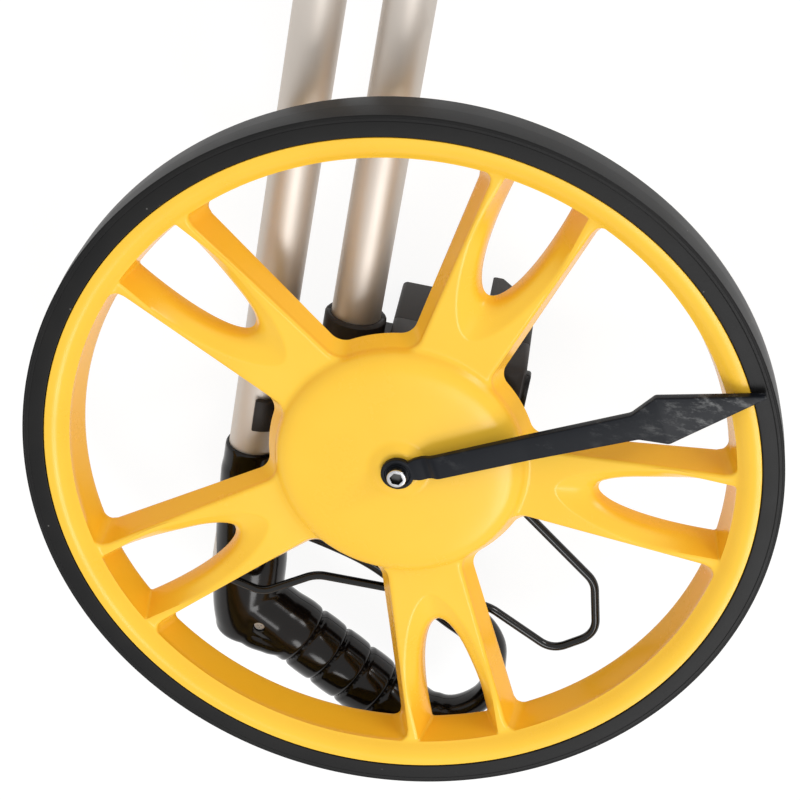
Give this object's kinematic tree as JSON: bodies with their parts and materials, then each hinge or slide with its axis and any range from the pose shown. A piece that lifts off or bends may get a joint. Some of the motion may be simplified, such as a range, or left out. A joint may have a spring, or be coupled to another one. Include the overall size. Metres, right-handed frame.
{
  "type": "measuring wheel",
  "caption": "Folding measuring wheel lying on its back: forked-spoke wheel with solid tyre and pointer, geared counter, hinged two-tube handle, guarded grip and wire stand.",
  "frame": {"origin": "on the wheel's axis, in the plane of the counter housing's flat back, on which the folded wheel lies", "axes": "+Z along the wheel's axis from the housing's back to the pointer; +Y along the folded tubes, from the wheel to the fold joint; +X completes a right-handed set"},
  "size_m": [0.3184, 0.58, 0.0907],
  "materials": {
    "tyre": "moulded solid rubber with a satin side",
    "wheel_plastic": "warm yellow moulding with a soft sheen",
    "housing_plastic": "fine-grained dark grey-brown moulding",
    "grip_plastic": "polished black moulding",
    "pointer_plastic": "blue-black moulding, lightly scuffed",
    "tube_metal": "satin drawn tube",
    "bright_metal": "bright plated",
    "steel": "plain turned steel",
    "wire_enamel": "gloss black over steel wire",
    "counter_plastic": "white moulding",
    "gear_plastic": "natural moulding",
    "clear_lens": "clear pane"
  },
  "bodies": {
    "frame": {"housing_front": "housing_plastic", "housing_rear": "housing_plastic", "counter_lens": "clear_lens", "housing_screw_1": "steel", "housing_screw_2": "steel", "housing_screw_3": "steel", "housing_screw_4": "steel", "axle": "steel", "axle_bolt": "bright_metal", "pointer_washer": "steel", "idler_pin": "steel", "drum_shaft": "steel", "pinion_shaft": "steel", "tube_clip": "housing_plastic", "lower_tube": "tube_metal", "lower_fold_bracket": "grip_plastic", "fold_pin": "steel", "fold_nut": "steel", "stand_washer": "steel"},
    "road_wheel": {"tyre": "tyre", "wheel": "wheel_plastic", "wheel_bush_front": "gear_plastic", "wheel_bush_rear": "gear_plastic", "drive_gear": "gear_plastic"},
    "start_pointer": {"pointer": "pointer_plastic"},
    "idler": {"idler_gear": "gear_plastic"},
    "drum_a": {"number_drum_1": "counter_plastic", "drum_gear": "gear_plastic"},
    "drum_b": {"number_drum_2": "counter_plastic"},
    "drum_c": {"number_drum_3": "counter_plastic"},
    "drum_d": {"number_drum_4": "counter_plastic"},
    "drum_e": {"number_drum_5": "counter_plastic"},
    "carry_a": {"carry_pinion_1": "gear_plastic"},
    "carry_b": {"carry_pinion_2": "gear_plastic"},
    "carry_c": {"carry_pinion_3": "gear_plastic"},
    "carry_d": {"carry_pinion_4": "gear_plastic"},
    "reset": {"reset_button": "grip_plastic"},
    "handle": {"upper_tube": "tube_metal", "upper_fold_bracket": "grip_plastic", "grip_front": "grip_plastic", "grip_rear": "grip_plastic", "grip_screw_1": "steel", "grip_screw_2": "steel"},
    "fold_lock": {"fold_lock_button": "grip_plastic"},
    "stand": {"kickstand": "wire_enamel"}
  },
  "joints": [
    {"name": "wheel_spin", "type": "hinge", "parent": "frame", "child": "road_wheel", "pos_m": [0, 0, 0.074], "axis": [0, 0, 1], "continuous": true},
    {"name": "pointer_turn", "type": "hinge", "parent": "frame", "child": "start_pointer", "pos_m": [0, 0, 0.082], "axis": [0, 0, 1], "continuous": true},
    {"name": "idler_spin", "type": "hinge", "parent": "frame", "child": "idler", "pos_m": [0.00949, 0.01646, 0.058], "axis": [0, 0, 1], "continuous": true},
    {"name": "drum_a_spin", "type": "hinge", "parent": "frame", "child": "drum_a", "pos_m": [0.011, 0.0354, 0.0528], "axis": [0, 0, 1], "continuous": true},
    {"name": "drum_b_spin", "type": "hinge", "parent": "frame", "child": "drum_b", "pos_m": [0.011, 0.0354, 0.0457], "axis": [0, 0, 1], "continuous": true},
    {"name": "drum_c_spin", "type": "hinge", "parent": "frame", "child": "drum_c", "pos_m": [0.011, 0.0354, 0.0386], "axis": [0, 0, 1], "continuous": true},
    {"name": "drum_d_spin", "type": "hinge", "parent": "frame", "child": "drum_d", "pos_m": [0.011, 0.0354, 0.0315], "axis": [0, 0, 1], "continuous": true},
    {"name": "drum_e_spin", "type": "hinge", "parent": "frame", "child": "drum_e", "pos_m": [0.011, 0.0354, 0.0244], "axis": [0, 0, 1], "continuous": true},
    {"name": "carry_a_spin", "type": "hinge", "parent": "frame", "child": "carry_a", "pos_m": [-0.0019, 0.0354, 0.049], "axis": [0, 0, 1], "continuous": true},
    {"name": "carry_b_spin", "type": "hinge", "parent": "frame", "child": "carry_b", "pos_m": [-0.0019, 0.0354, 0.0419], "axis": [0, 0, 1], "continuous": true},
    {"name": "carry_c_spin", "type": "hinge", "parent": "frame", "child": "carry_c", "pos_m": [-0.0019, 0.0354, 0.0348], "axis": [0, 0, 1], "continuous": true},
    {"name": "carry_d_spin", "type": "hinge", "parent": "frame", "child": "carry_d", "pos_m": [-0.0019, 0.0354, 0.0277], "axis": [0, 0, 1], "continuous": true},
    {"name": "reset_press", "type": "slide", "parent": "frame", "child": "reset", "axis": [-1, 0, 0], "range_m": [0, 0.002], "stiffness_N_per_m": 400, "springref_m": -0.002},
    {"name": "handle_fold", "type": "hinge", "parent": "frame", "child": "handle", "pos_m": [-0.0486, 0.395, 0.0365], "axis": [0, 0, -1], "range_deg": [0, 180]},
    {"name": "fold_lock_press", "type": "slide", "parent": "frame", "child": "fold_lock", "axis": [0, 0, -1], "range_m": [0, 0.0035], "stiffness_N_per_m": 500, "springref_m": -0.002},
    {"name": "stand_swing", "type": "hinge", "parent": "frame", "child": "stand", "pos_m": [0.0505, -0.017, 0.05], "axis": [0, 0, 1], "range_deg": [0, 90]}
  ],
  "couplings": [
    {"joint": "idler_spin", "follows": "wheel_spin", "ratio": -0.42857},
    {"joint": "drum_a_spin", "follows": "wheel_spin", "ratio": 1},
    {"joint": "drum_b_spin", "follows": "wheel_spin", "ratio": 0.1},
    {"joint": "drum_c_spin", "follows": "wheel_spin", "ratio": 0.01},
    {"joint": "drum_d_spin", "follows": "wheel_spin", "ratio": 0.001},
    {"joint": "drum_e_spin", "follows": "wheel_spin", "ratio": 0.0001},
    {"joint": "carry_a_spin", "follows": "wheel_spin", "ratio": -0.25},
    {"joint": "carry_b_spin", "follows": "wheel_spin", "ratio": -0.025},
    {"joint": "carry_c_spin", "follows": "wheel_spin", "ratio": -0.0025},
    {"joint": "carry_d_spin", "follows": "wheel_spin", "ratio": -0.00025}
  ]
}
